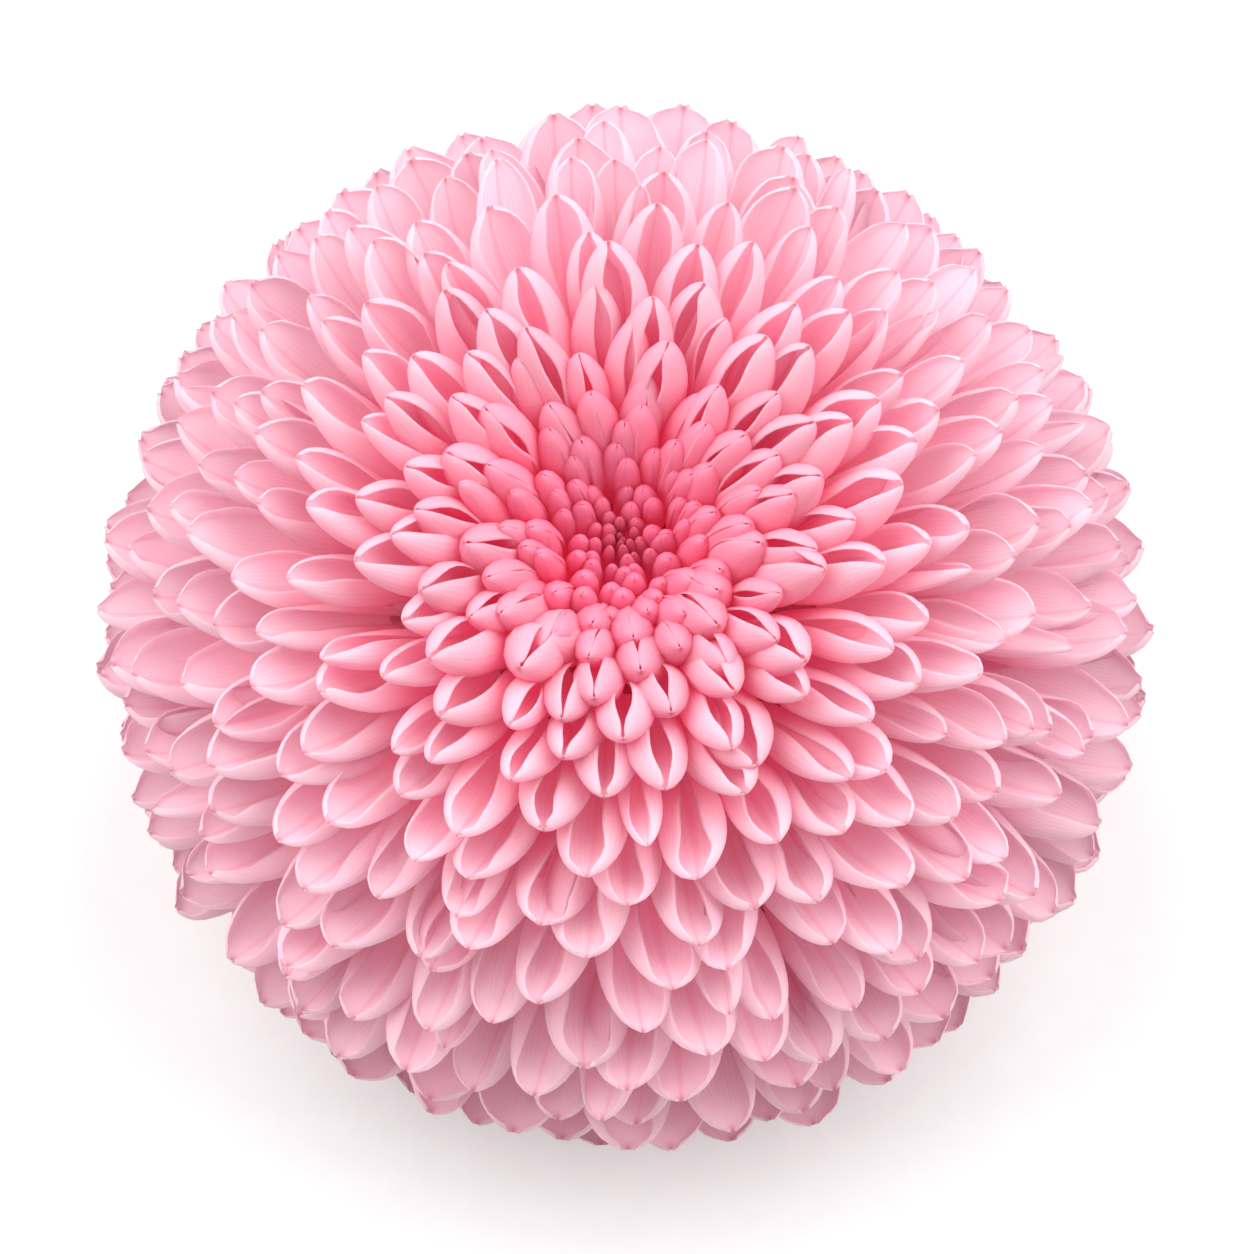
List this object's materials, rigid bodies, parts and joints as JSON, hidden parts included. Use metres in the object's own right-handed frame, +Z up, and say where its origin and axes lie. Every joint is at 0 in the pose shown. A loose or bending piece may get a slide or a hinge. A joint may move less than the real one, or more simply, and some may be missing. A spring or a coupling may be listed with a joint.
{
  "type": "pompon chrysanthemum bloom",
  "caption": "Pink pompon chrysanthemum bloom, a dimpled ball of boat-shaped ray florets over a green involucre, resting on its lowest florets.",
  "frame": {"origin": "middle of the bloom's box in X and Y, on the surface that it rests on", "axes": "+Z up along the head's axis through its eye; +X and +Y across it, with the front at -Y"},
  "size_m": [0.0956, 0.095, 0.0708],
  "materials": {
    "petal": "soft satin pink petals, deeper rose inside and at the eye, near white along their edges",
    "bract": "matte green bracts with thin papery margins and a pale cut stem"
  },
  "bodies": {
    "root": {"floret_head": "petal", "involucre": "bract"}
  },
  "joints": []
}
